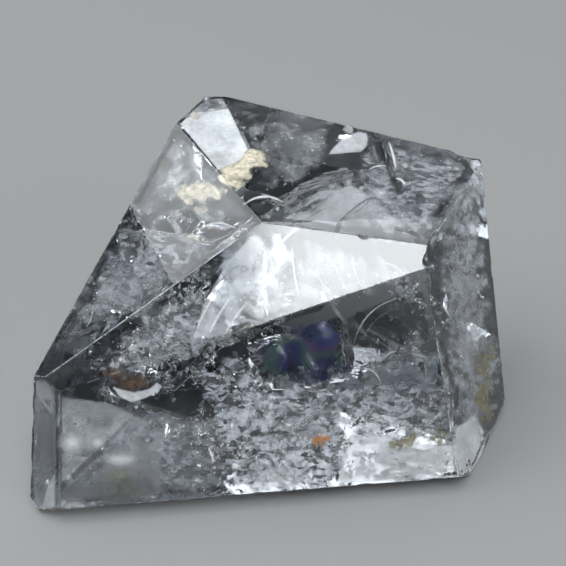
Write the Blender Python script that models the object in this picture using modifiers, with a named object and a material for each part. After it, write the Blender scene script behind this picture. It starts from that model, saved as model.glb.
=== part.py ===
"""A raw quartz crystal: one clear, chunky, flat-faced stone about 5 cm across.

Metres, +Z up. The stone rests on its base, and the origin is the middle of its footprint.
Its flat faces are cut out of a block one after the other. Each is given as a face reading:
the bearing and the tilt of its outward normal, and how far it lies from the stone's heart.
Worn edges and shell-shaped chips come after the flat faces.
"""
import math

import bmesh
import bpy
from mathutils import Matrix, Vector

MM = 0.001

# The rough block, and the heart's height over the surface that the stone rests on
BLOCK_SIDE = 90.0 * MM
HEART_HEIGHT = 12.0 * MM

# Each face: bearing of its normal from +X in degrees, tilt over the horizon in degrees,
# and distance from the heart in millimetres
FACES = {
    # seen from the front, which is -Y
    "crown": (-51.0, 85.5, 13.4),
    "shoulder": (-141.5, 64.5, 13.6),
    "window": (-95.0, 48.5, 12.15),
    "front": (-83.5, 20.0, 12.1),
    "right": (-25.5, 18.0, 18.35),
    "left_end": (-120.5, 19.0, 23.2),
    "left_bevel": (-102.0, 20.5, 18.4),
    # round the back
    "left_back": (152.5, -5.0, 15.5),
    "nape": (161.0, 14.0, 18.8),
    "chamfer": (95.5, 5.0, 21.8),
    "back": (69.5, 8.0, 18.45),
    "right_back": (0.0, 8.0, 22.8),
    # undercut below the widest outline
    "left_foot": (152.5, -47.5, 18.2),
    "back_foot": (67.0, -10.0, 18.8),
    "right_under": (-19.0, -30.0, 26.15),
    "front_under": (-83.5, -50.0, 18.65),
    "left_under": (-152.5, -40.0, 31.0),
    "base": (0.0, -90.0, 12.0),
}

# Edges are worn to a narrow round
EDGE_WEAR = 0.16 * MM
EDGE_WEAR_STEPS = 2
EDGE_LEAST_BEND = math.radians(8.0)

# Each chip: the two faces whose edge it bites, how far along that edge from its left end,
# its length along the edge and its bite into the stone in millimetres, and how many degrees
# it leans from the edge's middle towards the second face
CHIPS = {
    "corner_flake": ("back", "crown", 0.95, 3.8, 0.42, 28.0),
    "corner_chip": ("right_back", "crown", 0.40, 2.2, 0.30, 12.0),
    "corner_nick": ("crown", "right", 0.93, 1.3, 0.12, 5.0),
    "nose_bruise": ("window", "right", 0.35, 1.8, 0.22, 0.0),
    "ridge_nick": ("crown", "window", 0.62, 1.4, 0.12, 8.0),
    "left_nick_1": ("left_end", "left_back", 0.12, 1.7, 0.10, 12.0),
    "left_nick_2": ("left_end", "left_back", 0.30, 2.3, 0.16, -8.0),
    "left_nick_3": ("left_end", "left_back", 0.52, 1.4, 0.09, 14.0),
    "left_nick_4": ("left_end", "left_back", 0.69, 2.8, 0.18, -5.0),
    "left_nick_5": ("left_end", "left_back", 0.91, 1.6, 0.11, 10.0),
    "left_heel": ("left_end", "left_under", 0.05, 3.4, 0.60, 5.0),
    "left_toe": ("left_end", "left_under", 0.95, 2.6, 0.34, 8.0),
    "shoulder_nick_1": ("shoulder", "left_back", 0.22, 2.2, 0.12, 20.0),
    "shoulder_nick_2": ("shoulder", "left_back", 0.58, 3.0, 0.16, 24.0),
    "shoulder_nick_3": ("shoulder", "left_back", 0.80, 1.6, 0.10, 18.0),
    "front_nick_1": ("front", "front_under", 0.13, 1.6, 0.12, 22.0),
    "front_nick_2": ("front", "front_under", 0.41, 2.6, 0.20, 25.0),
    "front_nick_3": ("front", "front_under", 0.49, 1.5, 0.13, 18.0),
    "front_nick_4": ("front", "front_under", 0.76, 2.2, 0.16, 25.0),
    "front_nick_5": ("front", "front_under", 0.94, 2.0, 0.20, 15.0),
    "right_nick_1": ("right", "right_under", 0.30, 2.4, 0.22, 10.0),
    "right_nick_2": ("right", "right_back", 0.45, 2.0, 0.14, 14.0),
    "right_foot_scar": ("right_back", "base", 0.50, 7.5, 0.70, -20.0),
    "back_scar": ("back_foot", "base", 0.42, 9.0, 0.80, -30.0),
    "back_nick": ("back", "back_foot", 0.25, 3.0, 0.14, 0.0),
    "left_foot_scar": ("left_back", "left_foot", 0.55, 4.5, 0.30, -10.0),
    "chamfer_nick": ("left_back", "chamfer", 0.50, 3.0, 0.22, 0.0),
}

# A chip is bitten by a ball. Its rings close in on the deepest point of the bite, and low
# waves, as on a shell, run across them: RIPPLE is their height as a share of the bite
CHIP_SPOKES = 18
CHIP_RINGS = 5
RIPPLE = 0.10
RIPPLE_WAVES = 1.5

QUARTZ_COLOUR = (0.88, 0.90, 0.91, 1.0)
QUARTZ_ROUGHNESS = 0.03
QUARTZ_IOR = 1.544

# Points nearer than this are one point
TINY = 0.001 * MM


def outward(name):
    """Returns the outward normal of a named face."""
    bearing, tilt, _ = FACES[name]
    bearing, tilt = math.radians(bearing), math.radians(tilt)
    level = math.cos(tilt)
    return Vector((level * math.cos(bearing), level * math.sin(bearing), math.sin(tilt)))


def heart():
    """Returns the point that the faces are measured from."""
    return Vector((0.0, 0.0, HEART_HEIGHT))


def on_face(name):
    """Returns the point of a named face's plane that lies nearest the heart."""
    return heart() + outward(name) * (FACES[name][2] * MM)


def cut_face(stone, name):
    """Slices the block along a named face and closes the cut with one flat polygon."""
    everything = stone.verts[:] + stone.edges[:] + stone.faces[:]
    cut = bmesh.ops.bisect_plane(stone, geom=everything, dist=TINY, plane_co=on_face(name),
                                 plane_no=outward(name), clear_outer=True)
    rim = [piece for piece in cut["geom_cut"] if isinstance(piece, bmesh.types.BMEdge)]
    bmesh.ops.holes_fill(stone, edges=rim, sides=len(rim))


def flat_faced_stone():
    """Returns the stone with sharp edges, as a bmesh."""
    stone = bmesh.new()
    bmesh.ops.create_cube(stone, size=BLOCK_SIDE, matrix=Matrix.Translation(heart()))
    for name in FACES:
        cut_face(stone, name)
    bmesh.ops.remove_doubles(stone, verts=stone.verts, dist=TINY)
    bmesh.ops.recalc_face_normals(stone, faces=stone.faces)
    return stone


def lies_on(point, name):
    """Says whether a point lies on a named face's plane."""
    return abs((point - on_face(name)).dot(outward(name))) < TINY


def shared_edge(stone, first, second):
    """Returns the two ends of the edge between two named faces, the left one first."""
    ends = [vert.co.copy() for vert in stone.verts
            if lies_on(vert.co, first) and lies_on(vert.co, second)]
    if len(ends) != 2:
        raise ValueError(f"{first} and {second} share {len(ends)} corners, not 2")
    return sorted(ends, key=lambda end: end.x)


def chip_ball(name, length, bite):
    """Returns the mesh and radius of a ball that bites a chip with its +Z pole."""
    half = length / 2
    radius = (half * half + bite * bite) / (2 * bite)
    reach = math.asin(min(1.0, half / radius))
    rings = math.ceil(math.pi * CHIP_RINGS / reach)
    ball = bmesh.new()
    bmesh.ops.create_uvsphere(ball, u_segments=CHIP_SPOKES, v_segments=rings, radius=radius)
    for vert in ball.verts:
        angle = math.atan2(math.hypot(vert.co.x, vert.co.y), vert.co.z)
        wave = math.cos(math.tau * RIPPLE_WAVES * angle / reach) * math.exp(-angle / reach)
        vert.co *= 1 + RIPPLE * bite * wave / radius
    mesh = bpy.data.meshes.new(name)
    ball.to_mesh(mesh)
    ball.free()
    return mesh, radius


def place_chip(stone, cutters, name):
    """Sets a chip's ball over the edge that it bites."""
    first, second, along, length, bite, lean = CHIPS[name]
    left, right = shared_edge(stone, first, second)
    spot = left.lerp(right, along)
    length, bite = length * MM, bite * MM
    mesh, radius = chip_ball(name, length, bite)
    edge = (right - left).normalized()
    out = (outward(first) + outward(second)).normalized()
    side = math.copysign(1.0, edge.cross(out).dot(outward(second)))
    out.rotate(Matrix.Rotation(side * math.radians(lean), 3, edge))
    ball = bpy.data.objects.new(name, mesh)
    ball.location = spot + out * (radius - bite)
    ball.rotation_mode = "QUATERNION"
    ball.rotation_quaternion = (-out).to_track_quat("Z", "Y")
    ball.hide_render = True
    ball.display_type = "WIRE"
    cutters.objects.link(ball)


def quartz():
    """Makes the clear, faintly grey material of the stone."""
    material = bpy.data.materials.new("clear_quartz")
    material.use_nodes = True
    shader = material.node_tree.nodes["Principled BSDF"]
    shader.inputs["Base Color"].default_value = QUARTZ_COLOUR
    shader.inputs["Roughness"].default_value = QUARTZ_ROUGHNESS
    shader.inputs["Metallic"].default_value = 0.0
    shader.inputs["IOR"].default_value = QUARTZ_IOR
    shader.inputs["Transmission Weight"].default_value = 1.0
    return material


def footprint_middle(stone):
    """Returns how far the middle of the stone's outline lies from the Z axis."""
    xs = [vert.co.x for vert in stone.verts]
    ys = [vert.co.y for vert in stone.verts]
    return Vector(((min(xs) + max(xs)) / 2, (min(ys) + max(ys)) / 2, 0.0))


def new_collection(name):
    """Adds a collection to the scene."""
    collection = bpy.data.collections.new(name)
    bpy.context.scene.collection.children.link(collection)
    return collection


def make_crystal(stone, parts):
    """Makes the crystal's object from the sharp-edged stone."""
    mesh = bpy.data.meshes.new("quartz_crystal")
    stone.to_mesh(mesh)
    crystal = bpy.data.objects.new("quartz_crystal", mesh)
    crystal.data.materials.append(quartz())
    parts.objects.link(crystal)
    return crystal


def wear_edges(crystal):
    """Rounds the edges slightly, as handling wears them."""
    wear = crystal.modifiers.new("worn_edges", "BEVEL")
    wear.width = EDGE_WEAR
    wear.segments = EDGE_WEAR_STEPS
    wear.limit_method = "ANGLE"
    wear.angle_limit = EDGE_LEAST_BEND


def bite_chip(crystal, cutter):
    """Takes one chip out of the crystal."""
    bite = crystal.modifiers.new(cutter.name, "BOOLEAN")
    bite.operation = "DIFFERENCE"
    bite.solver = "EXACT"
    bite.object = cutter


def build():
    """Builds the crystal: flat faces, then worn edges, then chips."""
    for old in list(bpy.data.objects):
        bpy.data.objects.remove(old, do_unlink=True)
    parts = new_collection("raw_quartz_crystal")
    cutters = new_collection("chip_cutters")

    stone = flat_faced_stone()
    crystal = make_crystal(stone, parts)
    for name in CHIPS:
        place_chip(stone, cutters, name)
    middle = footprint_middle(stone)
    stone.free()
    for piece in [crystal, *cutters.objects]:
        piece.location -= middle

    wear_edges(crystal)
    for cutter in cutters.objects:
        bite_chip(crystal, cutter)


build()
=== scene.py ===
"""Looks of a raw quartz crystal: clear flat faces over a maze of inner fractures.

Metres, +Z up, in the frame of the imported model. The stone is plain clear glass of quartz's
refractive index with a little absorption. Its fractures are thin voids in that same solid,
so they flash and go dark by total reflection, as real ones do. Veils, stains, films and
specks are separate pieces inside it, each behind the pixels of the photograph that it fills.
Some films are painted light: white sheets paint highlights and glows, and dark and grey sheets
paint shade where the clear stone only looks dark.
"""

import math

import bmesh
import bpy
import numpy as np
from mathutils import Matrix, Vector


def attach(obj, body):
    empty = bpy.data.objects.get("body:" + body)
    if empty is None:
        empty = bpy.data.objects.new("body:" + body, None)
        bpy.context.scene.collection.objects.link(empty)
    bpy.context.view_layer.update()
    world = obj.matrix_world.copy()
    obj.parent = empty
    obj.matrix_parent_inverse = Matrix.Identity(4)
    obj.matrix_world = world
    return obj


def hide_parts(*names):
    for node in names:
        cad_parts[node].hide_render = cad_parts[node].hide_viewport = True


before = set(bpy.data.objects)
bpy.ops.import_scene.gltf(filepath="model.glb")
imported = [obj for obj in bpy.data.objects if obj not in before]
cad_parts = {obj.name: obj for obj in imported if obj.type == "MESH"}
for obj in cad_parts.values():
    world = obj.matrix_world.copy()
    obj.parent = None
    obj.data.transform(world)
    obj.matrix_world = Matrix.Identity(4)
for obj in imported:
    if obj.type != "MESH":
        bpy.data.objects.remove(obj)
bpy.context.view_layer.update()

MM = 0.001
NODE = "quartz_crystal"
TINY = 1e-12

# The photograph's camera: side of the square picture and focal length in its pixels, height
# over the horizon in degrees, and the point it aims at
PICTURE = 566
FOCAL_PX = 1400.0
SENSOR_MM = 36.0
ELEVATION = 36.0
EYE_DISTANCE = 153.85 * MM
AIM = np.array([0.5, 3.67, 12.0]) * MM
CLIP = (5 * MM, 20.0)

# Triangles of the CAD mesh are one flat face where their normals and distances round to the
# same numbers, and where they make up this area
NORMAL_STEPS = 50
DISTANCE_STEP = 0.2 * MM
LEAST_FACE = 4 * MM * MM

QUARTZ_IOR = 1.544
QUARTZ_TINT = (0.26, 0.29, 0.33, 1.0)
QUARTZ_DENSITY = 30.0
WORN_ROUGHNESS = 0.3
RELIEF = 0.10 * MM

# Skin faces this near to a flat face's direction are unworn, in degrees. Those that look
# down or back are more uneven than the ones in view
FLAT_WITHIN = 1.5
LOOKS_DOWN = 0.12
LOOKS_BACK = 0.3
UNEVEN_HIDDEN = 1.0
UNEVEN_SEEN = 0.06
SHARP_FROM = 20

# Seeds of the random draws
CRACK_SEED = 7
VEIL_SEED = 3
SPECK_SEED = 11
FLAKE_SEED = 23
GLINT_SEED = 29

# How deep a void or veil stays under the skin, and half of what a crack gapes
SKIN = 0.12 * MM
GAP = 0.02 * MM

# A crack's rim wanders by waves of these orders and by jitter, between limits
RIM_WAVES = range(2, 7)
RIM_JITTER = 0.35
RIM_LIMITS = (0.35, 1.6)

# Relief on a crack: rings about the point where it began, rays from it and plain waves, each
# with its number and its share of the ripple's height
START = 1.1
RINGS, RING_SHARE = 9, 0.5
RAYS, RAY_SHARE = 17, 0.25
WAVES, WAVE_SHARE, WAVE_NUMBERS = 5, 0.35, (3, 9)

# Small cracks: sizes and widths as shares, and fewer points on those under a size in mm
CRACK_SIZES = (0.3, 1.0)
CRACK_WIDTHS = (0.3, 0.9)
FINE_CRACK = 0.35

# A veil's waves in pixels, those of its border, and the least wave whose border wanders
VEIL_WAVES = 6
VEIL_LENGTHS = (25, 90)
VEIL_SHARE = 0.4
BORDER_LENGTHS = (9, 30)
BORDER_SHARE = 0.22
BORDER_LEAST_WAVE = 0.35
LEAST_DEPTH = 0.3

# A veil tears where points one pixel apart in the picture lie further apart than this
TEAR = 0.35 * MM

# Noise per metre: the skin's wear and swell, the films' grain and mottle, a thin gap's colours,
# and the blotches, painted glint and shade splinters and bends of shattered zones
WEAR, SWELL, GRAIN, MOTTLE, BANDS = 700.0, 150.0, 2600.0, 1400.0, 210.0
BLOTCHES, SHARDS, BENDS = 600.0, 2000.0, 260.0

# Where each pattern begins and ends in its noise
WEAR_NOISE = (0.30, 0.55)
PATCH_NOISE = (0.38, 0.60)
GRAIN_NOISE = (0.3, 0.7)
SPOT_NOISE = (0.35, 0.55)

# Detail, roughness and distortion of the noise behind a film's holes, how far a border shifts
# it towards holes, and how much of a shattered zone's pattern is painted glint and shade splinters
HOLES = (9.0, 0.62, 0.25)
RAGGED = -0.2
SHARD_SHARE = 0.42
FILM_ROUGHNESS = 0.7
GAP_ROUGHNESS = 0.25

# Flakes and glints: size and how many there are for each point of a veil, that veil's fade,
# the density that counts at most, and the plates' sizes, widths and corners
FLAKE = 0.17 * MM
FLAKES_PER_POINT = 0.16
GLINT = 0.13 * MM
GLINTS_PER_POINT = 0.22
STREWN_FADE = 10.0
MOST_DENSE = 1.4
PLATE_SIZES = (0.35, 1.0)
PLATE_WIDTHS = (0.3, 1)
PLATE_CORNERS = 5

# Grains: depth in millimetres, how far out their points lie as shares, and how flat they are
SPECK_DEPTH = 0.42
SPECK_SHAPES = (0.6, 1.3)
SPECK_FLAT = 0.7

LAMP_COLOUR = (0.93, 0.97, 1.0)
ROOM_COLOUR = (0.08, 0.085, 0.09, 1)
FLOOR_COLOUR = (0.162, 0.160, 0.159, 1)
FLOOR_SIDE = 4.0
FLOOR_DROP = 0.2 * MM
LAMP_AIM = Vector((0, 0, 0.012))


def unit(vector):
    """Returns a vector scaled to length 1."""
    vector = np.asarray(vector, float)
    return vector / np.linalg.norm(vector)


def any_angle(rng):
    """Returns a random angle."""
    return rng.uniform(0, math.tau)


def level_camera():
    """Returns the camera's eye and its right, up and back directions."""
    tilt = math.radians(ELEVATION)
    back = np.array([0.0, -math.cos(tilt), math.sin(tilt)])
    right = np.array([1.0, 0.0, 0.0])
    return AIM + back * EYE_DISTANCE, right, np.cross(back, right), back


EYE, RIGHT, UP, BACK = level_camera()


def flat_faces():
    """Reads the stone's flat faces off the CAD mesh: unit normals and distances."""
    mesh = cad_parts[NODE].data
    mesh.calc_loop_triangles()
    corners = np.array([vert.co for vert in mesh.vertices], float)
    found = {}
    for tri in mesh.loop_triangles:
        first, second, third = corners[list(tri.vertices)]
        normal = np.cross(second - first, third - first)
        area = np.linalg.norm(normal) / 2
        if area < TINY:
            continue
        normal = normal / (2 * area)
        reach = normal @ first
        key = tuple(np.round([*(normal * NORMAL_STEPS), reach / DISTANCE_STEP]).astype(int))
        entry = found.setdefault(key, [0.0, np.zeros(3), 0.0])
        entry[0] += area
        entry[1] += normal * area
        entry[2] += reach * area
    faces = [entry for entry in found.values() if entry[0] > LEAST_FACE]
    return (np.array([unit(normal) for _, normal, _ in faces]),
            np.array([reach / area for area, _, reach in faces]))


NORMALS, REACHES = flat_faces()


def look_in(x, y):
    """Follows the view through photo pixels.

    Returns the points where it enters the stone and its ways inside.
    """
    x, y = np.atleast_1d(x).astype(float), np.atleast_1d(y).astype(float)
    across, upward = (x - PICTURE / 2) / FOCAL_PX, (PICTURE / 2 - y) / FOCAL_PX
    way = np.outer(across, RIGHT) + np.outer(upward, UP) - BACK
    way /= np.linalg.norm(way, axis=1)[:, None]
    steep = way @ NORMALS.T
    facing = steep < 0
    reach = np.where(facing, (REACHES - NORMALS @ EYE) / np.where(facing, steep, 1.0), -1.0)
    face = reach.argmax(axis=1)
    rows = np.arange(len(x))
    cosine = -steep[rows, face]
    bend = 1 / QUARTZ_IOR
    turn = bend * cosine - np.sqrt(1 - bend**2 * (1 - cosine**2))
    return EYE + way * reach[rows, face][:, None], bend * way + turn[:, None] * NORMALS[face]


def seat(x, y, depth, slant, turn):
    """Returns a place inside the stone behind a photo pixel, and a normal there.

    depth is in millimetres along the view. slant is how far the normal leans away from the
    viewer, and turn which way it leans in the picture: 0 right, 90 up.
    """
    (entry,), (way,) = look_in(x, y)
    side = unit(RIGHT - way * (RIGHT @ way))
    top = np.cross(side, way)
    slant, turn = math.radians(slant), math.radians(turn)
    lean = side * math.cos(turn) + top * math.sin(turn)
    return entry + way * depth * MM, -way * math.cos(slant) + lean * math.sin(slant)


def keep_inside(points, centre):
    """Pulls points towards the centre until they lie under the skin."""
    offset = points - centre
    room = REACHES - SKIN - NORMALS @ centre
    out = offset @ NORMALS.T
    share = np.where(out > room, room / np.maximum(out, TINY), 1.0).min(axis=1)
    return centre + offset * np.clip(share, 0.0, 1.0)[:, None]


class Shape:
    """Points and faces gathered for one mesh, and values of its points."""

    def __init__(self):
        self.points, self.faces, self.values, self.count = [], [], [], 0

    def add(self, points, faces):
        self.points.append(points)
        self.faces.append(np.asarray(faces, int) + self.count)
        self.count += len(points)


def disc_faces(rings, spokes):
    """Triangles of a disc: its middle is point 0, then rings of points from the inside out."""
    faces = []
    for spoke in range(spokes):
        beside = (spoke + 1) % spokes
        faces.append((0, 1 + spoke, 1 + beside))
        for ring in range(rings - 1):
            here, there = 1 + ring * spokes + spoke, 1 + ring * spokes + beside
            faces.append((here, here + spokes, there + spokes))
            faces.append((here, there + spokes, there))
    return np.array(faces)


def crack_rim(rng, ragged, spokes):
    """Returns how far each spoke of a ragged disc reaches, as a share."""
    angle = np.arange(spokes) * math.tau / spokes
    edge = np.ones(spokes)
    for order in RIM_WAVES:
        edge += ragged * rng.normal() / order * np.cos(order * angle + any_angle(rng))
    edge += ragged * RIM_JITTER * rng.normal(size=spokes)
    return angle, np.clip(edge, *RIM_LIMITS)


def crack_relief(rng, x, y, half, dome, ripple):
    """Returns the heights of a crack's points over its plane."""
    big = max(half)
    start = np.array([half[0] * START, 0.0])
    run = np.hypot(x - start[0], y - start[1])
    ray = np.arctan2(y, start[0] - x)
    height = dome * big * ((x / big) ** 2 + (y / big) ** 2)
    height += ripple * big * RING_SHARE * np.sin(run / big * RINGS + any_angle(rng))
    height += ripple * big * RAY_SHARE * np.sin(ray * RAYS + any_angle(rng)) * run / big
    for _ in range(WAVES):
        way = any_angle(rng)
        wave = rng.uniform(*WAVE_NUMBERS) / big
        along = x * math.cos(way) + y * math.sin(way)
        height += ripple * big * WAVE_SHARE * np.sin(along * wave + any_angle(rng))
    return height


def add_crack(shape, rng, centre, normal, half, spin=0.0, dome=0.0, ripple=0.02, ragged=0.15,
              rings=9, spokes=30, lie=None):
    """Adds one thin closed void whose faces look into it."""
    normal = unit(normal)
    if lie is None:
        lie = np.cross(normal, UP if abs(normal @ UP) < 0.9 else RIGHT)
    first = unit(lie)
    second = np.cross(normal, first)
    spin = math.radians(spin)
    across = first * math.cos(spin) + second * math.sin(spin)
    along = np.cross(normal, across)
    half = (half[0] * MM, half[1] * MM)
    angle, edge = crack_rim(rng, ragged, spokes)
    out = (np.arange(1, rings + 1) / rings)[:, None]
    x = np.append(0.0, (half[0] * out * edge * np.cos(angle)).ravel())
    y = np.append(0.0, (half[1] * out * edge * np.sin(angle)).ravel())
    share = np.append(0.0, np.repeat(out.ravel(), spokes))
    height = crack_relief(rng, x, y, half, dome, ripple)
    sheet = centre + np.outer(x, across) + np.outer(y, along) + np.outer(height, normal)
    lift = np.outer(GAP * np.sqrt(np.clip(1 - share**2, 0, 1)), normal)
    upper = keep_inside(sheet, centre) + lift
    lower = (keep_inside(sheet, centre) - lift)[:-spokes]
    faces = disc_faces(rings, spokes)
    total = len(upper)
    rim = total - spokes
    below = np.where(faces >= rim, faces, faces + total)
    shape.add(np.vstack([upper, lower]), np.vstack([faces[:, ::-1], below]))


def add_seam(shape, rng, start, end, depth, reach, lean):
    """Adds a crack seen edge-on: a line in the picture from one pixel to another."""
    ends, ways = look_in([start[0], end[0]], [start[1], end[1]])
    ends = ends + ways * np.array(depth)[:, None] * MM
    way = unit(ways.sum(axis=0))
    along = unit(ends[1] - ends[0])
    deep = unit(way - along * (way @ along))
    side = np.cross(along, deep)
    lean = math.radians(lean)
    deep = deep * math.cos(lean) + side * math.sin(lean)
    half = (np.linalg.norm(ends[1] - ends[0]) / 2 / MM, reach)
    add_crack(shape, rng, ends.mean(axis=0), np.cross(along, deep), half, ripple=0.03,
              rings=5, spokes=36, lie=along)


def in_outline(x, y, outline):
    """Tells which pixels lie inside an outline, and how far each is from its border."""
    outline = np.asarray(outline, float)
    inside = np.zeros(x.shape, bool)
    border = np.full(x.shape, np.inf)
    for (ax, ay), (bx, by) in zip(outline, np.roll(outline, -1, axis=0)):
        crosses = (ay > y) != (by > y)
        at = ax + (y - ay) * (bx - ax) / (by - ay if by != ay else TINY)
        inside ^= crosses & (x < at)
        length = (bx - ax) ** 2 + (by - ay) ** 2
        share = np.clip(((x - ax) * (bx - ax) + (y - ay) * (by - ay)) / length, 0, 1)
        away = np.hypot(x - ax - share * (bx - ax), y - ay - share * (by - ay))
        border = np.minimum(border, away)
    return inside, border


def pixel_in(rng, outline):
    """Returns a random pixel inside an outline."""
    outline = np.asarray(outline, float)
    while True:
        x, y = rng.uniform(outline.min(axis=0), outline.max(axis=0))
        if in_outline(np.array([x]), np.array([y]), outline)[0][0]:
            return x, y


def add_veil(shape, rng, outline, depth, dense, wave, fade, step):
    """Adds a wavy sheet inside the stone that fills an outline of the photo.

    depth and wave are in millimetres. dense says how thick the veil looks, fade over how many
    pixels its border thins out, and step how many pixels there are from point to point.
    """
    outline = np.asarray(outline, float)
    (x0, y0), (x1, y1) = outline.min(axis=0), outline.max(axis=0)
    x, y = np.meshgrid(np.arange(x0, x1 + step, step), np.arange(y0, y1 + step, step))
    inside, border = in_outline(x, y, outline)
    entry, way = look_in(x.ravel(), y.ravel())
    deep = np.full(x.shape, float(depth))
    wander = max(fade * BORDER_SHARE, 1.0) if wave > BORDER_LEAST_WAVE else 0.0
    for _ in range(VEIL_WAVES):
        turn, wide = any_angle(rng), rng.uniform(*VEIL_LENGTHS)
        along = x * math.cos(turn) + y * math.sin(turn)
        deep += wave * VEIL_SHARE * np.sin(along * math.tau / wide + any_angle(rng))
        wide = rng.uniform(*BORDER_LENGTHS)
        across = x * math.sin(turn) + y * math.cos(turn)
        border += wander * np.sin(across * math.tau / wide)
    points = entry + way * (np.maximum(deep, LEAST_DEPTH) * MM).ravel()[:, None]
    good = (points @ NORMALS.T < REACHES - SKIN).all(axis=1) & inside.ravel()
    whole = np.clip(border.ravel() / fade, 0, 1)
    index = np.arange(x.size).reshape(x.shape)
    corners = (index[:-1, :-1], index[1:, :-1], index[1:, 1:], index[:-1, 1:])
    quads = np.stack(corners, -1).reshape(-1, 4)
    spread = np.linalg.norm(points[quads] - points[quads[:, :1]], axis=2).max(axis=1)
    quads = quads[good[quads].all(axis=1) & (spread < TEAR * step)]
    used, inverse = np.unique(quads, return_inverse=True)
    shape.add(points[used], inverse.reshape(-1, 4))
    shape.values.append(np.stack([np.full(len(used), dense), whole[used]], 1))


def bow(start, end, sag, width, count=12):
    """Returns the outline of a thin arc between two pixels, bulging to its left by sag."""
    start, end = np.array(start, float), np.array(end, float)
    share = np.linspace(0, 1, count)[:, None]
    chord = end - start
    side = np.array([chord[1], -chord[0]]) / np.hypot(*chord)
    middle = start + chord * share + side * (4 * sag * share * (1 - share))
    thick = side * width / 2 * np.sqrt(np.clip(1 - (2 * share - 1) ** 4, 0.05, 1))
    return np.vstack([middle + thick, (middle - thick)[::-1]])


def blob(x, y, half_width, half_height, count=12):
    """Returns a round outline in the picture."""
    angle = np.arange(count) * math.tau / count
    return np.stack([x + half_width * np.cos(angle), y + half_height * np.sin(angle)], 1)


def arcs(name, kind, *rows):
    """Returns numbered veils for arcs of one film: ends, sag, width, depth and density."""
    return {f"{name}_{number}": (kind, bow(*row[:4]), *row[4:])
            for number, row in enumerate(rows, 1)}


BIG_CRACKS = {
    # x, y, depth, slant, turn, half sizes, then spin, dome, ripple, raggedness, rings and spokes
    "fan": (352, 142, 2.5, 62, 100, (2.6, 1.6), 20, 0.10, 0.03),
    "slab": (388, 152, 3, 70, 10, (3, 0.7), 80),
    "slab_low": (400, 170, 4, 66, 160, (2.6, 0.9), 60),
    "long_wave": (320, 200, 5, 60, 110, (7.5, 2.6), -22, 0.05, 0.012, 0.15, 16, 60),
    "dark_lens": (262, 206, 3, 50, 90, (2.2, 0.9), -10, 0.25, 0.0, 0.05),
    "dark_lens_low": (214, 231, 3, 50, 90, (1.8, 0.7), -10, 0.25, 0.0, 0.05),
    "veil_shoulder": (170, 255, 4, 60, 70, (4.5, 2.6), 0, 0.05, 0.04),
    "window_end": (175, 330, 5, 55, 60, (5.5, 2.6), 35, 0.1, 0.04),
    "dark_break": (170, 405, 5, 62, -70, (4.5, 1.6), -20, 0.05, 0.03),
    "brown_break": (125, 378, 3, 60, -60, (2.6, 1.2), -20, 0.05, 0.03),
    "colour_break": (295, 350, 6, 56, 90, (5, 3), 10, 0.08, 0.03),
    "arc": (385, 335, 6, 66, 60, (4, 3.6), 40, 0.12, 0.03),
    "arc_top": (405, 290, 3, 64, 40, (2.2, 1.4), 40, 0.1, 0.05),
    "slit": (457, 398, 2, 75, 0, (1.6, 0.5), 90),
    "shelf": (330, 400, 6, 60, 80, (7, 2.4), -15, 0.05, 0.05),
    "foot_shelf": (420, 460, 5, 50, 90, (4.5, 2), 0, 0.1),
}

SEAMS = {
    # from, to, depths at the ends, reach into the stone, lean
    "trace_1": ((208, 250), (262, 214), (0.6, 1.6), 1.6, 25),
    "trace_2": ((258, 216), (300, 190), (1.6, 2.4), 1.6, 30),
    "trace_3": ((296, 192), (352, 168), (2.4, 3.2), 1.8, 30),
    "bright_line": ((116, 229), (216, 243), (1, 1.4), 1, 35),
    "crown_crack": ((374, 197), (340, 222), (0.8, 0.8), 0.9, 20),
    "crown_crack_low": ((341, 220), (335, 240), (0.8, 1.2), 0.8, 20),
    "streak_1": ((288, 205), (318, 188), (2, 2.5), 0.8, 30),
    "streak_2": ((296, 214), (336, 190), (2, 2.5), 0.8, 30),
    "streak_3": ((310, 216), (344, 196), (2.2, 2.6), 0.8, 20),
    "slab_line_1": ((369, 136), (372, 158), (1.5, 2.5), 1, 20),
    "slab_line_2": ((384, 138), (396, 188), (1.5, 2.5), 1.2, 20),
    "slab_line_3": ((397, 160), (418, 190), (2, 2.5), 1, 20),
    "window_line": ((318, 276), (345, 325), (1, 2), 0.8, 20),
    "front_line_1": ((262, 330), (286, 318), (1, 1), 0.6, 20),
    "front_line_2": ((300, 345), (335, 392), (3, 4), 1.4, 30),
    "front_line_3": ((342, 325), (352, 372), (2, 3), 1.2, 30),
    "front_line_4": ((210, 345), (262, 330), (2, 3), 1.2, 30),
    "foot_line_1": ((268, 436), (330, 430), (3, 3), 0.8, 30),
    "foot_line_2": ((300, 398), (338, 420), (3, 4), 1, 30),
    "side_line": ((100, 388), (122, 404), (2, 3), 1, 30),
    "dark_edge_1": ((418, 428), (462, 436), (1.5, 1.5), 0.8, 30),
}

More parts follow.
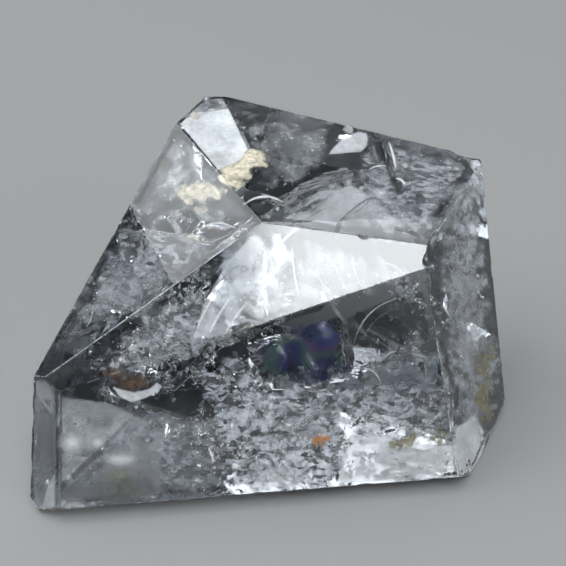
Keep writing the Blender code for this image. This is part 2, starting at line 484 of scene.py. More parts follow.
CRACKLE = {
    # outline, how many, size, depths, slants
    "belt": (((112, 345), (210, 350), (330, 385), (440, 395), (448, 470), (300, 480),
        (150, 430)), 420, 0.9, (2, 12), (30, 80)),
    "belt_near": (((112, 350), (215, 352), (330, 380), (440, 380), (450, 474), (230, 486),
        (130, 420)), 560, 0.5, (0.3, 1.6), (20, 80)),
    "window_end": (((80, 370), (205, 280), (235, 330), (150, 365)), 170, 0.7, (1, 8), (35, 80)),
    "window": (((200, 300), (250, 235), (300, 240), (280, 320)), 60, 0.6, (0.6, 3), (35, 80)),
    "shoulder": (((120, 235), (215, 240), (200, 300), (90, 320)), 170, 0.6, (0.6, 5), (35, 80)),
    "shoulder_top": (((172, 130), (212, 166), (235, 205), (150, 205)), 70, 0.45, (0.6, 4), (35, 80)),
    "dark_corner": (((385, 285), (425, 272), (436, 345), (400, 330)), 70, 0.5, (1, 5), (35, 80)),
    "front_right": (((345, 345), (425, 330), (440, 400), (360, 410)), 90, 0.5, (0.6, 4), (35, 80)),
    "crown_right": (((352, 150), (410, 140), (450, 180), (420, 235), (360, 200)), 130, 0.7, (1, 6),
        (35, 80)),
    "crown_bits": (((236, 118), (268, 118), (268, 145), (240, 145)), 26, 0.4, (2, 5), (35, 80)),
    "right": (((440, 230), (478, 170), (498, 400), (455, 470)), 110, 0.5, (0.6, 5), (35, 80)),
    "heel": (((62, 400), (220, 420), (230, 480), (62, 500)), 60, 0.35, (0.6, 5), (35, 80)),
}

FILMS = {
    # colour, noise per metre, noise that is a hole, noise that is solid, grain, wave, fade, step,
    # how much darker its dark patches are
    "wisp": ((0.92, 0.94, 0.97), 430, 0.34, 0.66, 0.35, 1.4, 16, 2.5, 0.15),
    "mist": ((0.90, 0.93, 0.97), 190, 0.22, 0.80, 0.2, 0.8, 14, 2.5, 0.12),
    "puff": ((0.93, 0.95, 0.98), 380, 0.16, 0.62, 0.3, 0.5, 12, 1.5, 0.12),
    "cloud": ((0.95, 0.97, 1), 240, 0, 0.66, 0.10, 0.6, 4, 1.5, 0.1),
    # shine is a painted highlight: white glows and glare
    "shine": ((0.98, 0.99, 1), 260, -0.60, 0.80, 0.08, 0.3, 13, 1.5, 0.05),
    "frost": ((0.80, 0.84, 0.90), 140, -0.6, 1.2, 0.06, 0.3, 7, 2, 0.15),
    # grey is painted shade: grey sheets that dim bright reflections inside the stone
    "grey": ((0.34, 0.37, 0.42), 330, 0.12, 0.56, 0.3, 0.8, 14, 2.5, 0.3),
    "buff": ((0.92, 0.84, 0.66), 900, 0.12, 0.46, 0.25, 0.4, 6, 1.5, 0.45),
    "rust": ((0.13, 0.07, 0.032), 1500, 0.26, 0.58, 0.4, 0.4, 6, 1.2, 0.75),
    "orange": ((0.85, 0.30, 0.03), 1100, 0.30, 0.50, 0.2, 0.2, 5, 1, 0.35),
    "olive": ((0.36, 0.32, 0.17), 1300, 0.22, 0.56, 0.3, 0.4, 10, 1.5, 0.55),
    # dark: near-black sheets, mostly painted shade, the black of breaks, lenses and clear parts that look
    # into the dark
    "dark": ((0.015, 0.015, 0.02), 500, 0.22, 0.46, 0.1, 0.3, 3, 1, 0.3),
    "night": ((0.05, 0.06, 0.16), 260, 0.18, 0.60, 0.1, 0.5, 12, 2, 0.2),
    "rim": ((0.97, 0.98, 1), 900, 0.05, 0.40, 0.2, 0.1, 1.6, 0.8, 0.05),
    # sheen: an even white film for milky veils, and a painted highlight where a face catches the light
    "sheen": ((0.93, 0.95, 0.98), 260, -0.25, 0.95, 0.08, 0.2, 2.2, 1.4, 0.15),
    # shade is painted shade: soft dark sheets where the stone only looks dark
    "shade": ((0.06, 0.065, 0.08), 220, -0.40, 0.90, 0.05, 0.2, 5, 1.5, 0.2),
    # crackle: mid-grey sheets whose light and dark splinters paint the glints and shade of a shattered zone
    "crackle": ((0.68, 0.71, 0.77), 900, 0.08, 0.50, 0.4, 0.8, 12, 1.6, 0.88),
    "ink": ((0.02, 0.02, 0.025), 700, -0.20, 0.35, 0.2, 0.1, 1.1, 0.7, 0.2),
}

VEILS = {
    # film, outline, depth, density
    "crown_band": ("wisp", ((180, 122), (222, 97), (247, 148), (213, 164)), 3, 0.9),
    "crown_band_low": ("sheen", ((176, 121), (190, 112), (229, 107), (252, 155), (238, 163),
        (218, 172)), 0.6, 1.2),
    "crown_band_top": ("sheen", ((174, 121), (188, 98), (198, 92), (222, 94), (230, 110),
        (190, 114)), 0.6, 0.4),
    "shoulder_top_glare": ("shine", ((184, 142), (192, 144), (208, 180), (202, 188), (188, 172)), 0.5, 0.6),
    # Painted shade on the crown band, in this sheet and the next
    "crown_band_shade": ("shade", ((194, 96), (214, 95), (224, 106), (208, 114), (192, 110)), 0.45, 0.6),
    "crown_band_blur": ("shade", bow((186, 130), (210, 124), -3, 7), 0.45, 0.3),
    "crown_band_glint": ("shine", bow((216, 98), (228, 112), 1, 9), 0.4, 1),
    "crown_band_deep": ("wisp", ((190, 120), (220, 98), (246, 147), (215, 160)), 5, 1),
    "crown_haze": ("mist", ((240, 104), (330, 118), (330, 172), (262, 190)), 6, 0.22),
    "fan": ("sheen", ((326, 156), (331, 148), (338, 141), (347, 135), (357, 131), (367, 129), (369, 138),
        (368, 147), (362, 153), (348, 154), (337, 155)), 0.8, 0.85),
    **arcs("fan_rib", "ink",
        ((364, 150), (333, 148), 1, 1.4, 0.5, 0.5), ((365, 149), (341, 141), 1, 1.4, 0.5, 0.5),
        ((366, 148), (352, 135), 1, 1.4, 0.5, 0.5)),
    "fan_shade": ("dark", ((368, 128), (380, 132), (384, 142), (370, 140)), 1.2, 1),
    "slab_shade_1": ("dark", ((376, 140), (386, 142), (402, 190), (396, 194), (384, 168)), 1.8, 0.9),
    "slab_shade_2": ("dark", ((352, 158), (366, 158), (362, 172), (350, 170)), 1.6, 0.7),
    "slab_shade_3": ("dark", ((404, 178), (414, 182), (424, 204), (416, 206)), 1.8, 0.7),
    "slab_light": ("rim", bow((388, 140), (396, 170), 1, 4), 1.2, 0.9),
    "slab_light_2": ("rim", bow((368, 170), (388, 166), 2, 3), 1, 1),
    "slab_light_3": ("rim", bow((395, 178), (406, 186), 2, 4), 1, 1.1),
    "crown_right": ("wisp", ((352, 128), (474, 158), (428, 240), (350, 200)), 5, 0.7),
    "crown_right_mist": ("mist", ((400, 140), (472, 158), (428, 240), (410, 200)), 3, 0.4),
    "crown_low": ("wisp", ((262, 208), (350, 168), (428, 200), (425, 243), (335, 226)), 4, 0.9),
    "crown_low_mist": ("mist", ((262, 212), (350, 178), (425, 205), (425, 243), (335, 226)), 2.5, 0.8),
    "crown_pale": ("cloud", ((280, 218), (316, 192), (350, 184), (376, 196), (396, 214), (396, 237),
        (330, 226)), 2, 0.42),
    # The shade sheets from here to heel_foot_shade are painted shade that darkens the shoulder, the crown's
    # right side and the heel's foot
    "shoulder_top_back": ("shade", ((148, 166), (172, 128), (210, 168), (236, 208), (136, 214)), 2.9, 0.6),
    "shoulder_mid_back": ("shade", ((136, 229), (216, 243), (204, 264), (180, 285), (158, 262),
        (142, 238)), 1.3, 0.85),
    "shoulder_mid_crackle": ("crackle", ((118, 226), (216, 241), (204, 264), (150, 284),
        (106, 260)), 0.9, 0.5),
    "crown_right_back": ("shade", ((396, 150), (452, 158), (462, 176), (432, 236), (398, 226)), 4.5, 0.45),
    "heel_foot_shade": ("shade", ((60, 484), (150, 474), (164, 500), (62, 508)), 1.2, 0.45),
    "rust_streak": ("rust", bow((99, 389), (121, 409), 2, 5), 0.6, 1),
    **arcs("belt_ink", "ink",
        ((322, 430), (346, 424), 3, 2, 0.5, 0.9), ((346, 424), (372, 438), -2, 2, 0.5, 0.9),
        ((256, 438), (292, 433), 3, 3.4, 0.6, 0.9), ((262, 364), (300, 384), -3, 2, 0.6, 0.7),
        ((300, 374), (338, 402), -3, 2.2, 0.6, 0.7), ((216, 392), (262, 404), 4, 2.4, 0.6, 0.7),
        ((240, 450), (262, 478), 4, 3, 0.8, 0.6)),
    **arcs("crown_rib", "ink",
        ((282, 214), (314, 190), 2, 2.4, 0.7, 0.6), ((292, 218), (328, 188), 2, 2, 0.7, 0.6),
        ((304, 221), (342, 186), 2, 2, 0.7, 0.5), ((338, 224), (376, 195), 3, 2.4, 0.4, 1),
        ((334, 240), (339, 223), 1, 2.6, 0.4, 1)),
    "shoulder_top": ("wisp", ((172, 128), (212, 166), (235, 205), (150, 205)), 1.6, 0.7),
    "shoulder_top_mist": ("mist", ((172, 126), (212, 166), (238, 212), (140, 212)), 1, 0.26),
    "shoulder_top_sheen": ("sheen", ((172, 124), (210, 166), (240, 205), (250, 218), (135, 214),
        (150, 168)), 2.6, 0.12),
    "shoulder_top_shade": ("shade", ((170, 160), (206, 162), (206, 176), (172, 178)), 1, 0.22),
    "shoulder_mid": ("wisp", ((140, 200), (236, 205), (215, 240), (112, 230)), 4, 0.7),
    "shoulder_low": ("wisp", ((105, 245), (150, 245), (205, 262), (150, 310), (62, 340)), 4, 0.4),
    "shoulder_low_mist": ("mist", ((95, 270), (200, 250), (150, 310), (62, 340)), 3, 0.4),
    "window_end": ("wisp", ((80, 372), (150, 305), (208, 290), (240, 335), (150, 362)), 4, 0.8),
    "window_left": ("mist", ((190, 336), (206, 300), (246, 226), (300, 236), (280, 322)), 1.2, 1.3),
    "window_edge": ("sheen", ((190, 340), (204, 300), (222, 268), (250, 234), (264, 236), (244, 300),
        (230, 336)), 0.7, 0.5),
    **arcs("window_edge", "rim",
        ((196, 332), (224, 280), 2, 4, 0.5, 0.6), ((208, 336), (238, 288), 2, 5, 0.5, 0.6),
        ((224, 336), (250, 300), 2, 4, 0.5, 0.6)),
    "window_right_mist": ("mist", ((296, 238), (352, 246), (420, 268), (400, 290), (290, 318)), 0.7, 0.5),
    **arcs("window_right", "rim",
        ((322, 250), (348, 296), 3, 3, 0.5, 0.3), ((352, 252), (364, 290), -3, 3, 0.5, 0.25),
        ((382, 262), (408, 278), 3, 3, 0.5, 0.3)),
    "window_left_wisp": ("wisp", ((190, 330), (250, 228), (330, 240), (300, 315)), 6, 0.5),
    "front_right": ("wisp", ((345, 345), (425, 330), (440, 400), (360, 410)), 5, 0.6),
    "front_right_mist": ("mist", ((360, 350), (425, 320), (446, 420), (360, 420)), 3, 0.4),
    "belt": ("wisp", ((200, 370), (330, 395), (440, 392), (440, 440), (280, 450), (190, 430)), 5, 0.5),
    "belt_mist": ("mist", ((190, 400), (330, 405), (445, 400), (440, 450), (230, 470)), 2.5, 0.45),
    "foot_white": ("wisp", ((350, 472), (360, 435), (452, 428), (455, 478)), 3, 0.8),
    "foot_white_puff": ("puff", ((352, 474), (372, 446), (452, 440), (456, 478)), 2.4, 1),
    "foot_mid": ("wisp", ((250, 484), (270, 450), (345, 440), (350, 478)), 4, 0.6),
    "heel_haze": ("frost", ((58, 392), (130, 406), (220, 424), (240, 492), (150, 496), (58, 506)), 4, 0.28),
    "heel_mist": ("mist", ((66, 410), (120, 416), (150, 440), (130, 490), (66, 480)), 3, 0.5),
    # Crackle sheets whose splinters paint the belt's glints and shade
    "belt_grey": ("crackle", ((196, 372), (232, 350), (262, 352), (276, 384), (350, 388), (354, 488),
        (226, 494)), 1.5, 1),
    "belt_grey_right": ("crackle", ((336, 384), (448, 384), (452, 438), (352, 448)), 1.5, 0.85),
    "foot_sheen": ("sheen", ((336, 484), (348, 436), (372, 430), (402, 442), (454, 444),
        (458, 482)), 0.9, 0.95),
    "foot_sheen_left": ("sheen", ((246, 490), (262, 470), (282, 462), (302, 470), (306, 488)), 1, 0.7),
    "heel_crackle": ("crackle", ((146, 432), (190, 428), (222, 440), (226, 490), (176, 494),
        (150, 470)), 2, 0.4),
    "crown_dust": ("wisp", ((240, 104), (335, 120), (340, 150), (300, 190), (262, 196),
        (248, 160)), 3, 0.35),
    "crown_edge_dust": ("crackle", ((300, 196), (352, 166), (430, 206), (424, 240), (340, 226)), 3, 0.3),
    "belt_crackle": ("crackle", ((200, 382), (300, 392), (350, 384), (380, 366), (440, 350), (442, 400),
        (330, 410)), 3, 0.6),
    "side_crackle": ("crackle", ((96, 372), (150, 318), (205, 292), (236, 330), (205, 352),
        (150, 372)), 2.6, 0.55),
    "shoulder_crackle": ("crackle", ((100, 262), (130, 238), (204, 258), (150, 310), (66, 344)), 2.4, 0.32),
    "crown_crackle": ("crackle", ((352, 150), (420, 146), (470, 160), (430, 236), (380, 214),
        (360, 190)), 2.2, 0.5),
    "right_crackle": ("crackle", ((436, 250), (474, 172), (494, 300), (500, 390), (466, 410)), 2.4, 0.45),
    # A grey sheet of painted shade over the front
    "front_grey": ("grey", ((240, 372), (340, 372), (440, 350), (440, 400), (300, 410)), 2.4, 0.7),
    # The heel's sheen sheets paint its lighter tones and the bar and shade sheets paint its shade
    "heel_sheen_1": ("sheen", ((60, 396), (112, 402), (154, 424), (120, 434), (60, 436)), 2, 0.4),
    "heel_sheen_2": ("sheen", ((60, 452), (92, 456), (60, 486)), 1.6, 0.45),
    "heel_sheen_3": ("sheen", ((66, 500), (128, 438), (168, 444), (160, 498), (110, 502)), 2, 0.25),
    "heel_bar": ("shade", ((134, 412), (142, 408), (104, 454), (60, 496), (58, 484), (96, 448)), 0.5, 1.1),
    "heel_shade": ("shade", ((88, 418), (118, 412), (112, 428), (92, 434)), 1.2, 0.5),
    "heel_tan": ("olive", ((92, 486), (112, 464), (140, 470), (150, 498), (100, 500)), 1.4, 0.6),
    # The heel's spots are painted glows
    "heel_spot_1": ("shine", ((58, 434), (70, 428), (84, 434), (88, 446), (82, 456), (64, 456),
        (57, 446)), 1, 1),
    "heel_spot_2": ("shine", blob(98, 443, 13, 11), 1, 0.9),
    "heel_spot_3": ("shine", blob(121, 459, 18, 10), 1, 1.3),
    "heel_spot_4": ("shine", blob(74, 506, 18, 10), 0.8, 0.7),
    "right": ("wisp", ((440, 240), (478, 168), (500, 400), (455, 470)), 3.5, 0.7),
    "right_mist": ("mist", ((432, 250), (478, 166), (502, 400), (460, 474)), 2, 0.6),
    # The three white sheets at the right foot paint the highlight of a corner that catches the light
    "right_foot": ("cloud", ((453, 426), (476, 413), (484, 430), (478, 486), (452, 482)), 1.4, 1.2),
    "right_foot_sheen": ("sheen", ((454, 428), (476, 413), (482, 440), (480, 476), (456, 480)), 1, 1.2),
    "right_foot_puff": ("puff", ((458, 430), (480, 414), (488, 434), (472, 478), (456, 476)), 1.4, 1.2),
    "left_end": ("frost", ((26, 372), (58, 382), (57, 514), (22, 514)), 0.6, 0.25),
    # The left end's strips paint its bands of light and dark: painted highlights in the sheen strips,
    # painted shade in the shade strip and a painted glint in the spark
    "left_end_rim": ("sheen", ((31, 382), (38, 384), (34, 506), (29, 506)), 0.4, 0.35),
    "left_end_shade": ("shade", ((42, 396), (53, 398), (52, 470), (44, 484), (38, 470)), 0.5, 0.5),
    "left_end_foot": ("sheen", ((46, 486), (56, 468), (56, 508), (40, 511)), 0.4, 0.6),
    "left_end_spark": ("rim", bow((38, 430), (35, 448), 0, 2.2), 0.3, 0.7),
    "left_end_top": ("sheen", ((34, 380), (46, 380), (55, 392), (54, 420), (38, 400)), 0.4, 0.3),
    "cream_1": ("buff", ((218, 168), (236, 158), (248, 148), (264, 147), (273, 156), (268, 168),
        (256, 172), (250, 182), (238, 191), (226, 190), (216, 178)), 0.8, 1.1),
    "cream_2": ("buff", ((170, 198), (180, 184), (200, 177), (216, 180), (230, 190), (222, 200),
        (206, 206), (184, 206)), 0.8, 0.8),
    "cream_3": ("buff", ((186, 205), (208, 203), (212, 212), (194, 216)), 1, 0.6),
    "cream_4": ("buff", ((178, 116), (192, 108), (206, 112), (200, 121), (182, 126)), 0.6, 0.45),
    "rust_top": ("rust", bow((158, 149), (165, 176), 2, 6), 0.7, 1),
    # Two small near-black patches on the shoulder
    "dark_patch_top": ("dark", ((160, 164), (170, 168), (170, 180), (161, 176)), 1.2, 0.5),
    "dark_patch_mid": ("dark", ((128, 204), (136, 208), (134, 216), (126, 212)), 1.2, 0.6),
    **arcs("cream_dark", "rust",
        ((220, 176), (246, 180), -2, 3.4, 0.6, 1.1), ((176, 203), (216, 201), -3, 3.4, 0.6, 0.9),
        ((230, 184), (262, 168), 2, 3, 0.7, 0.8)),
    # A line of painted shade beside the cream stains
    "cream_blue": ("shade", bow((212, 204), (232, 190), -1, 4), 0.6, 0.5),
    "rust_low": ("rust", ((100, 370), (122, 366), (144, 374), (152, 388), (134, 392),
        (110, 388)), 0.7, 1.4),
    "crescent": ("sheen", ((109, 384), (118, 387), (134, 391), (148, 388), (157, 381), (164, 386),
        (158, 395), (146, 399), (132, 404), (119, 398)), 0.9, 1.6),
    "orange": ("orange", ((309, 438), (318, 433), (331, 434), (333, 443), (322, 448), (311, 447)), 0.9, 2),
    "orange_low": ("orange", ((300, 380), (318, 384), (326, 392), (312, 390)), 2.5, 0.6),
    "olive_1": ("olive", ((388, 440), (404, 430), (420, 430), (424, 444), (402, 452),
        (390, 452)), 0.5, 1.5),
    "olive_1_core": ("rust", blob(411, 438, 5, 7), 0.4, 0.9),
    "olive_2": ("olive", ((420, 434), (436, 426), (454, 430), (455, 446), (436, 448),
        (422, 446)), 0.5, 1.4),
    "olive_3": ("olive", ((474, 350), (496, 340), (496, 400), (488, 432), (474, 424)), 1.2, 1.2),
    # The near-black sheets down to black_slab, all but the thin-film gap, are painted shade: the dark
    # behind the gap and the front, and the black of the lenses and breaks
    "night_back": ("dark", ((252, 350), (290, 330), (342, 314), (352, 376), (306, 388),
        (258, 378)), 3.4, 0.9),
    "front_back": ("dark", ((344, 318), (400, 292), (424, 290), (432, 340), (400, 366),
        (346, 374)), 5, 0.6),
    "night": ("night", ((250, 346), (290, 326), (342, 312), (352, 376), (306, 386), (258, 376)), 2, 2.2),
    "lens": ("dark", ((240, 208), (250, 200), (266, 198), (280, 203), (272, 214), (256, 218)), 1.8, 1.6),
    "lens_low": ("dark", ((196, 234), (212, 226), (234, 229), (226, 238), (208, 242)), 1.8, 1.6),
    "black_break": ("dark", ((130, 400), (150, 394), (176, 388), (200, 386), (214, 400), (218, 420),
        (196, 420), (170, 414), (148, 406)), 1.4, 1.2),
    "black_slit": ("dark", ((454, 386), (460, 382), (461, 404), (456, 414), (452, 404)), 1.2, 1.3),
    "black_slab": ("dark", ((370, 138), (382, 140), (386, 160), (378, 164)), 2, 0.9),
    "corner": ("puff", ((446, 146), (490, 156), (478, 178), (462, 160)), 0.4, 1.8),
    "lens_rim": ("rim", bow((241, 207), (286, 204), 9, 3.5), 1.2, 2.5),
    "lens_low_rim": ("rim", bow((196, 232), (238, 230), 8, 3), 1.2, 2.5),
    "lens_gold": ("buff", bow((246, 212), (282, 209), 8, 4), 1.3, 1.5),
    "shoulder_line": ("rim", bow((112, 228), (220, 243), 3, 1.6), 0.8, 0.8),
    "shoulder_fibre": ("rim", bow((84, 330), (92, 300), -4, 2), 0.8, 1.2),
    "dark_arc": ("rim", bow((352, 352), (412, 296), 16, 2.6), 2.2, 0.8),
    "dark_arc_inner": ("rim", bow((360, 350), (404, 306), 10, 2), 2.2, 0.5),
    "dark_arc_low": ("rim", bow((350, 370), (382, 392), 12, 3), 1.6, 1.4),
    "dark_arc_side": ("rim", bow((378, 366), (404, 352), 6, 2.4), 1.8, 0.8),
    **arcs("window_streak", "rim",
        ((258, 272), (300, 226), 3, 4, 1, 0.9), ((268, 318), (266, 246), 2, 6, 1, 0.8),
        ((236, 296), (262, 244), 2, 3, 1, 0.7), ((300, 300), (292, 240), 2, 3, 1, 0.7)),
    # Painted shade in the window: a near-black sheet deep under it and grey sheets over it
    "window_block": ("dark", ((205, 318), (240, 236), (300, 232), (330, 250), (322, 312),
        (250, 330)), 3.5, 0.75),
    "window_band": ("grey", blob(281, 288, 9, 40), 0.8, 1.2),
    "window_shade": ("grey", blob(232, 262, 20, 24), 0.9, 0.9),
    # Painted shade: dark lines and a dark band in the belt
    **arcs("belt_dark", "dark",
        ((238, 437), (292, 434), 3, 5, 1, 0.9), ((262, 452), (276, 476), 4, 6, 1, 0.8),
        ((352, 470), (388, 474), -3, 3, 1, 0.7), ((198, 350), (262, 344), 5, 5, 1.4, 0.8)),
    "foot_dark": ("ink", bow((418, 427), (452, 434), 2, 2.4), 0.4, 1),
    "foot_dark_spot": ("dark", blob(453, 433, 4, 3), 0.4, 1),
    # Painted shade at the dark tip
    "black_tip": ("dark", ((44, 378), (62, 364), (78, 366), (66, 392), (60, 394)), 0.8, 1),
}

# Thin-film colours, by noise
RAINBOW = (
    (0.0, (0.02, 0.02, 0.03)), (0.40, (0.03, 0.045, 0.13)), (0.47, (0.07, 0.045, 0.12)),
    (0.53, (0.04, 0.085, 0.075)), (0.60, (0.03, 0.035, 0.10)), (1.0, (0.02, 0.02, 0.03)),
)

# The painted glint and shade splinters lean and stretch by these, and a soft noise bends them by this much
SHARD_LEAN = (0.0, math.radians(-35), 0.0)
SHARD_STRETCH = (0.55, 1.0, 1.3)
SHARD_WARP = (0.0016, 0.0016, 0.0016)

SPECKS = {
    # pixel: radius in millimetres
    (469, 461): 0.22, (467, 465): 0.20, (470, 464): 0.16, (454, 473): 0.26, (449, 474): 0.22,
    (462, 471): 0.20, (445, 474): 0.14,
}

LAMPS = {
    # side, radiance, bearing and height in degrees, distance, soft share of the side
    "key": (0.36, 16, -83, 60, 0.8, 0.16),
    "top": (1.4, 3.2, 100, 72, 1.2, 0.35),
    "fill": (0.8, 5.0, -176, 48, 0.95, 0),
    "side": (0.4, 5.0, -45, 28, 0.85, 0),
}


def set_inputs(tree, node, inputs):
    """Sets a node's inputs, each to a value or to another node's output."""
    for key, value in inputs.items():
        if isinstance(value, bpy.types.NodeSocket):
            tree.links.new(value, node.inputs[key])
        else:
            node.inputs[key].default_value = value


def add_node(tree, kind, inputs, output=0, **options):
    """Adds a shader node with its inputs and options. Returns one of its outputs."""
    node = tree.nodes.new("ShaderNode" + kind)
    for name, value in options.items():
        setattr(node, name, value)
    set_inputs(tree, node, inputs)
    return node.outputs[output]


def product(tree, first, second, clamp=False):
    """Adds a node that multiplies two numbers."""
    return add_node(tree, "Math", {0: first, 1: second}, operation="MULTIPLY", use_clamp=clamp)


def noise(tree, place, scale, detail=2.0, roughness=0.5, distortion=0.0, output="Fac"):
    """Adds a noise over the object, whose scale is per metre."""
    return add_node(tree, "TexNoise", {"Vector": place, "Scale": scale, "Detail": detail,
        "Roughness": roughness, "Distortion": distortion}, output)


def remap(tree, number, low=0.0, high=1.0, start=0.0, end=1.0, **options):
    """Adds a node that turns the range from low to high into start to end, and no further."""
    return add_node(tree, "MapRange", {"Value": number, "From Min": low, "From Max": high,
        "To Min": start, "To Max": end}, **options)


def mark(tree, name):
    """Reads a value that the mesh holds."""
    return add_node(tree, "Attribute", {}, "Fac", attribute_name=name)


def colours(tree, number, stops):
    """Turns a number into a colour, by stops of position and colour."""
    node = tree.nodes.new("ShaderNodeValToRGB")
    spots = node.color_ramp.elements
    for position, colour in stops[1:-1]:
        spots.new(position).color = (*colour, 1)
    for end in (0, -1):
        position, colour = stops[end]
        spots[end].position = position
        spots[end].color = (*colour, 1)
    tree.links.new(number, node.inputs["Fac"])
    return node.outputs["Color"]


def new_material(name, inputs):
    """Adds a material. Returns it, its node tree, its shader and the place on the object."""
    material = bpy.data.materials.new(name)
    material.use_nodes = True
    tree = material.node_tree
    shader = tree.nodes["Principled BSDF"]
    set_inputs(tree, shader, inputs)
    return material, tree, shader, add_node(tree, "TexCoord", {}, "Object")


def quartz():
    """Clear quartz: glassy faces, uneven at the back and below, frosted where it is worn."""
    material, tree, shader, place = new_material("clear_quartz", {
        "Base Color": (1, 1, 1, 1), "IOR": QUARTZ_IOR, "Transmission Weight": 1.0})
    smoke = add_node(tree, "VolumeAbsorption", {"Color": QUARTZ_TINT, "Density": QUARTZ_DENSITY})
    set_inputs(tree, tree.nodes["Material Output"], {"Volume": smoke})
    patches = remap(tree, noise(tree, place, WEAR, detail=4.0), *WEAR_NOISE)
    chipped = product(tree, patches, mark(tree, "worn"))
    frost = remap(tree, chipped, end=WORN_ROUGHNESS)
    swell = noise(tree, place, SWELL, detail=3.0, roughness=0.55)
    height = product(tree, swell, mark(tree, "uneven"))
    relief = add_node(tree, "Bump", {"Height": height, "Distance": RELIEF, "Strength": 1.0})
    set_inputs(tree, shader, {"Roughness": frost, "Normal": relief})
    return material


def rainbow(tree, place):
    """Colours of a gap as thin as light waves: blue, violet and green in patches."""
    return colours(tree, noise(tree, place, BANDS, detail=1.0), RAINBOW)


def splinters(tree, place, blotches):
    """Painted light and dark angular splinters: the glints and shade of a shattered zone."""
    lean = add_node(tree, "Mapping", {"Vector": place, "Rotation": SHARD_LEAN,
        "Scale": SHARD_STRETCH})
    bend = noise(tree, place, BENDS, output="Color")
    warp = add_node(tree, "VectorMath", {0: bend, 1: SHARD_WARP, 2: lean}, operation="MULTIPLY_ADD")
    cells = add_node(tree, "TexVoronoi", {"Vector": warp, "Scale": SHARDS}, "Color")
    tone = add_node(tree, "SeparateXYZ", {0: cells}, "X")
    return add_node(tree, "Mix", {"Factor": SHARD_SHARE, 2: blotches, 3: tone})


def film(name, colour, scale, hole, solid, sugary, dark):
    """A thin film whose holes come from noise and whose thickness from the mesh. Most are deposits; the
    shine, shade, grey and dark films, crackle's splinters and part of sheen paint highlights and shade.
    """
    material, tree, shader, place = new_material(name + "_film", {
        "Base Color": (*colour, 1), "Roughness": FILM_ROUGHNESS})
    # The crackle film's splinters paint glints and shade
    shattered = name == "crackle"
    patches = noise(tree, place, BLOTCHES if shattered else MOTTLE, detail=5.0)
    if shattered:
        patches = splinters(tree, place, patches)
    shades = remap(tree, patches, *PATCH_NOISE, start=1 - dark)
    tint = add_node(tree, "VectorMath", {0: colour, "Scale": shades}, operation="SCALE")
    if name == "night":
        tint = rainbow(tree, place)
        set_inputs(tree, shader, {"Roughness": GAP_ROUGHNESS})
    whole = mark(tree, "whole")
    ragged = add_node(tree, "Math", {
        0: noise(tree, place, scale, *HOLES), 1: remap(tree, whole, start=RAGGED, end=0.0)})
    holes = remap(tree, ragged, hole, solid, interpolation_type="SMOOTHSTEP")
    thick = product(tree, holes, mark(tree, "dense"), clamp=True)
    grain = noise(tree, place, GRAIN, detail=3.0)
    sugar = remap(tree, grain, *GRAIN_NOISE, 1 - sugary, 1 + sugary / 2)
    alpha = product(tree, product(tree, thick, whole), sugar, clamp=True)
    set_inputs(tree, shader, {"Base Color": tint, "Alpha": alpha})
    return material


def spotted(name, scale, dark, light, roughness, metallic=0.0):
    """A material whose colour changes in spots from dark to light."""
    material, tree, shader, place = new_material(name, {
        "Roughness": roughness, "Metallic": metallic})
    spots = colours(tree, noise(tree, place, scale), tuple(zip(SPOT_NOISE, (dark, light))))
    set_inputs(tree, shader, {"Base Color": spots})
    return material


def mesh_object(name, shape, material, smooth=True):
    """Makes a piece of a gathered shape."""
    mesh = bpy.data.meshes.new(name)
    faces = [face for part in shape.faces for face in part.tolist()]
    mesh.from_pydata(np.vstack(shape.points).tolist(), [], faces)
    mesh.materials.append(material)
    if smooth:
        mesh.shade_smooth()
    piece = bpy.data.objects.new(name, mesh)
    bpy.context.scene.collection.objects.link(piece)
    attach(piece, "root")
    return piece


def cracks():
    """Gathers the stone's fractures."""
    rng = np.random.default_rng(CRACK_SEED)
    shape = Shape()
    for x, y, depth, slant, turn, *form in BIG_CRACKS.values():
        centre, normal = seat(x, y, depth, slant, turn)
        add_crack(shape, rng, centre, normal, *form)
    for start, end, depth, reach, lean in SEAMS.values():
        add_seam(shape, rng, start, end, depth, reach, lean)
    for outline, count, size, depths, slants in CRACKLE.values():
        for _ in range(count):
            x, y = pixel_in(rng, outline)
            lie = (rng.uniform(*depths), rng.uniform(*slants), rng.uniform(0, 360))
            centre, normal = seat(x, y, *lie)
            if (NORMALS @ centre > REACHES - SKIN * 2).any():
                continue
            big = rng.uniform(*CRACK_SIZES) ** 2 * size
            fine = big < FINE_CRACK
            add_crack(shape, rng, centre, normal, (big, big * rng.uniform(*CRACK_WIDTHS)),
                      spin=rng.uniform(0, 360), ripple=0.06, ragged=0.4,
                      rings=2 if fine else 3, spokes=7 if fine else 9)
    return shape


def face_marks(mesh, skin_faces):
    """Marks on each face how worn and how uneven it is."""
    count = len(mesh.polygons)
    normals = np.empty(count * 3)
    mesh.polygons.foreach_get("normal", normals)
    normals = normals.reshape(-1, 3)
    flat = (normals @ NORMALS.T).max(axis=1) > math.cos(math.radians(FLAT_WITHIN))
    on_skin = np.arange(count) < skin_faces
    hidden = (normals[:, 2] < LOOKS_DOWN) | (normals[:, 1] > LOOKS_BACK)
    uneven = np.where(on_skin & flat & hidden, UNEVEN_HIDDEN,
                      np.where(on_skin, UNEVEN_SEEN, 0.0))
    for name, values in {"worn": (on_skin & ~flat).astype(float), "uneven": uneven}.items():
        mesh.attributes.new(name, "FLOAT", "FACE").data.foreach_set("value", values)


